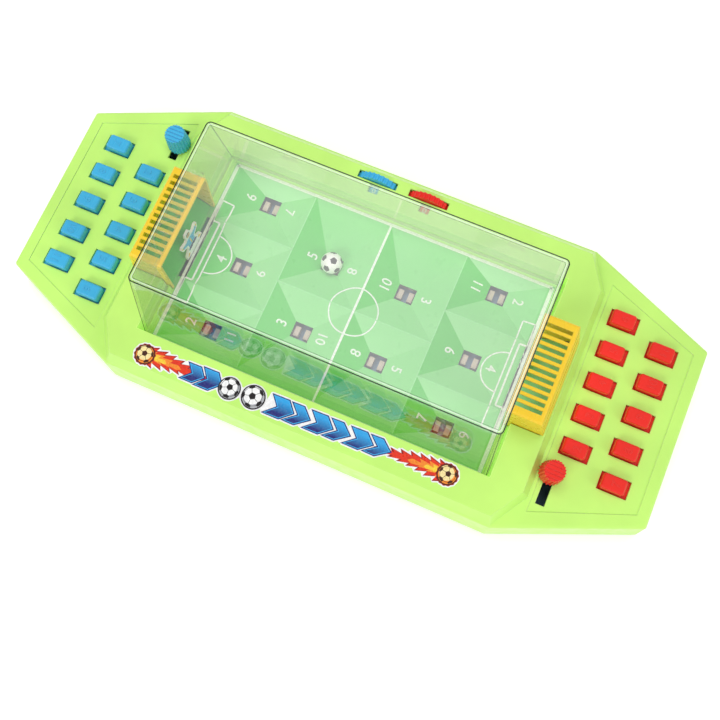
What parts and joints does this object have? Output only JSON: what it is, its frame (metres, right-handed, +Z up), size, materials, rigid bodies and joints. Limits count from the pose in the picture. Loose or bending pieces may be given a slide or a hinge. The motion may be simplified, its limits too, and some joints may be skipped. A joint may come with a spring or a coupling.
{
  "type": "push-button tabletop football game",
  "caption": "Elongated eight-sided tabletop football game with push-button kickers, sliding goalkeepers, thumb-wheel scorers and a clear hood over a dimpled pitch.",
  "frame": {"origin": "centre of the game's outline at table height, under the middle of the pitch", "axes": "+Z up, +X along the length from the blue player's end to the red player's end, +Y towards the side with the score wheels"},
  "size_m": [0.426, 0.19, 0.0964],
  "materials": {
    "lime_plastic": "satin, injection moulded",
    "tray_plastic": "plain grey-blue",
    "pitch_green": "satin, printed white lines",
    "clear_plastic": "polished, transparent",
    "goal_yellow": "satin",
    "blue_plastic": "satin, moulded numbers",
    "red_plastic": "satin, moulded numbers",
    "keeper_white": "printed sticker on white plastic",
    "slider_green": "plain dark green",
    "lever_ivory": "plain, printed figures on the kicker tops",
    "foot_rubber": "matt",
    "screw_steel": "bright",
    "sticker_film": "printed film",
    "ball_white": "printed black patches"
  },
  "bodies": {
    "housing": {"top_shell": "lime_plastic", "base_tray": "tray_plastic", "pitch": "pitch_green", "clear_cover": "clear_plastic", "blue_goal": "goal_yellow", "red_goal": "goal_yellow", "rubber_feet": "foot_rubber", "tray_screws": "screw_steel", "front_sticker": "sticker_film"},
    "blue_key_2": {"blue_button_2": "blue_plastic", "blue_lever_2": "lever_ivory"},
    "blue_key_3": {"blue_button_3": "blue_plastic", "blue_lever_3": "lever_ivory"},
    "blue_key_4": {"blue_button_4": "blue_plastic", "blue_lever_4": "lever_ivory"},
    "blue_key_5": {"blue_button_5": "blue_plastic", "blue_lever_5": "lever_ivory"},
    "blue_key_6": {"blue_button_6": "blue_plastic", "blue_lever_6": "lever_ivory"},
    "blue_key_7": {"blue_button_7": "blue_plastic", "blue_lever_7": "lever_ivory"},
    "blue_key_8": {"blue_button_8": "blue_plastic", "blue_lever_8": "lever_ivory"},
    "blue_key_9": {"blue_button_9": "blue_plastic", "blue_lever_9": "lever_ivory"},
    "blue_key_10": {"blue_button_10": "blue_plastic", "blue_lever_10": "lever_ivory"},
    "blue_key_11": {"blue_button_11": "blue_plastic", "blue_lever_11": "lever_ivory"},
    "red_key_2": {"red_button_2": "red_plastic", "red_lever_2": "lever_ivory"},
    "red_key_3": {"red_button_3": "red_plastic", "red_lever_3": "lever_ivory"},
    "red_key_4": {"red_button_4": "red_plastic", "red_lever_4": "lever_ivory"},
    "red_key_5": {"red_button_5": "red_plastic", "red_lever_5": "lever_ivory"},
    "red_key_6": {"red_button_6": "red_plastic", "red_lever_6": "lever_ivory"},
    "red_key_7": {"red_button_7": "red_plastic", "red_lever_7": "lever_ivory"},
    "red_key_8": {"red_button_8": "red_plastic", "red_lever_8": "lever_ivory"},
    "red_key_9": {"red_button_9": "red_plastic", "red_lever_9": "lever_ivory"},
    "red_key_10": {"red_button_10": "red_plastic", "red_lever_10": "lever_ivory"},
    "red_key_11": {"red_button_11": "red_plastic", "red_lever_11": "lever_ivory"},
    "blue_keeper": {"blue_keeper_knob": "blue_plastic", "blue_keeper_slider": "slider_green", "blue_keeper_figure": "keeper_white"},
    "red_keeper": {"red_keeper_knob": "red_plastic", "red_keeper_slider": "slider_green", "red_keeper_figure": "keeper_white"},
    "blue_score_wheel": {"blue_score_wheel": "blue_plastic"},
    "red_score_wheel": {"red_score_wheel": "red_plastic"},
    "ball": {"ball": "ball_white"}
  },
  "joints": [
    {"name": "blue_key_2_rock", "type": "hinge", "parent": "housing", "child": "blue_key_2", "pos_m": [-0.05275, 0, 0.0065], "axis": [0, -1, 0], "range_deg": [0, 1.78]},
    {"name": "blue_key_3_rock", "type": "hinge", "parent": "housing", "child": "blue_key_3", "pos_m": [-0.07677, 0, 0.0065], "axis": [0, -1, 0], "range_deg": [0, 2.32]},
    {"name": "blue_key_4_rock", "type": "hinge", "parent": "housing", "child": "blue_key_4", "pos_m": [-0.05275, 0, 0.0065], "axis": [0, -1, 0], "range_deg": [0, 1.78]},
    {"name": "blue_key_5_rock", "type": "hinge", "parent": "housing", "child": "blue_key_5", "pos_m": [-0.07677, 0, 0.0065], "axis": [0, -1, 0], "range_deg": [0, 2.32]},
    {"name": "blue_key_6_rock", "type": "hinge", "parent": "housing", "child": "blue_key_6", "pos_m": [-0.05275, 0, 0.0065], "axis": [0, -1, 0], "range_deg": [0, 1.78]},
    {"name": "blue_key_7_rock", "type": "hinge", "parent": "housing", "child": "blue_key_7", "pos_m": [-0.13901, 0, 0.0065], "axis": [0, -1, 0], "range_deg": [0, 4.12]},
    {"name": "blue_key_8_rock", "type": "hinge", "parent": "housing", "child": "blue_key_8", "pos_m": [-0.11499, 0, 0.0065], "axis": [0, -1, 0], "range_deg": [0, 2.67]},
    {"name": "blue_key_9_rock", "type": "hinge", "parent": "housing", "child": "blue_key_9", "pos_m": [-0.13901, 0, 0.0065], "axis": [0, -1, 0], "range_deg": [0, 4.12]},
    {"name": "blue_key_10_rock", "type": "hinge", "parent": "housing", "child": "blue_key_10", "pos_m": [-0.11499, 0, 0.0065], "axis": [0, -1, 0], "range_deg": [0, 2.67]},
    {"name": "blue_key_11_rock", "type": "hinge", "parent": "housing", "child": "blue_key_11", "pos_m": [-0.13901, 0, 0.0065], "axis": [0, -1, 0], "range_deg": [0, 4.12]},
    {"name": "red_key_2_rock", "type": "hinge", "parent": "housing", "child": "red_key_2", "pos_m": [0.05275, 0, 0.0065], "axis": [0, 1, 0], "range_deg": [0, 1.78]},
    {"name": "red_key_3_rock", "type": "hinge", "parent": "housing", "child": "red_key_3", "pos_m": [0.07677, 0, 0.0065], "axis": [0, 1, 0], "range_deg": [0, 2.32]},
    {"name": "red_key_4_rock", "type": "hinge", "parent": "housing", "child": "red_key_4", "pos_m": [0.05275, 0, 0.0065], "axis": [0, 1, 0], "range_deg": [0, 1.78]},
    {"name": "red_key_5_rock", "type": "hinge", "parent": "housing", "child": "red_key_5", "pos_m": [0.07677, 0, 0.0065], "axis": [0, 1, 0], "range_deg": [0, 0.2]},
    {"name": "red_key_6_rock", "type": "hinge", "parent": "housing", "child": "red_key_6", "pos_m": [0.05275, 0, 0.0065], "axis": [0, 1, 0], "range_deg": [0, 1.78]},
    {"name": "red_key_7_rock", "type": "hinge", "parent": "housing", "child": "red_key_7", "pos_m": [0.13901, 0, 0.0065], "axis": [0, 1, 0], "range_deg": [0, 4.12]},
    {"name": "red_key_8_rock", "type": "hinge", "parent": "housing", "child": "red_key_8", "pos_m": [0.11499, 0, 0.0065], "axis": [0, 1, 0], "range_deg": [0, 2.67]},
    {"name": "red_key_9_rock", "type": "hinge", "parent": "housing", "child": "red_key_9", "pos_m": [0.13901, 0, 0.0065], "axis": [0, 1, 0], "range_deg": [0, 4.12]},
    {"name": "red_key_10_rock", "type": "hinge", "parent": "housing", "child": "red_key_10", "pos_m": [0.11499, 0, 0.0065], "axis": [0, 1, 0], "range_deg": [0, 2.67]},
    {"name": "red_key_11_rock", "type": "hinge", "parent": "housing", "child": "red_key_11", "pos_m": [0.13901, 0, 0.0065], "axis": [0, 1, 0], "range_deg": [0, 4.12]},
    {"name": "blue_keeper_slide", "type": "slide", "parent": "housing", "child": "blue_keeper", "axis": [0, 1, 0], "range_m": [-0.0095, 0.0095]},
    {"name": "red_keeper_slide", "type": "slide", "parent": "housing", "child": "red_keeper", "axis": [0, 1, 0], "range_m": [-0.0182, 0.0008]},
    {"name": "blue_score_wheel_spin", "type": "hinge", "parent": "housing", "child": "blue_score_wheel", "pos_m": [-0.0174, 0.081, 0.0235], "axis": [0, 1, 0], "continuous": true},
    {"name": "red_score_wheel_spin", "type": "hinge", "parent": "housing", "child": "red_score_wheel", "pos_m": [0.0174, 0.081, 0.0235], "axis": [0, 1, 0], "continuous": true},
    {"name": "ball_hop", "type": "slide", "parent": "housing", "child": "ball", "axis": [0, 0, 1], "range_m": [0, 0.00416]}
  ],
  "couplings": [
    {"joint": "ball_hop", "follows": "blue_key_8_rock", "m_per_rad": 0.08749}
  ]
}
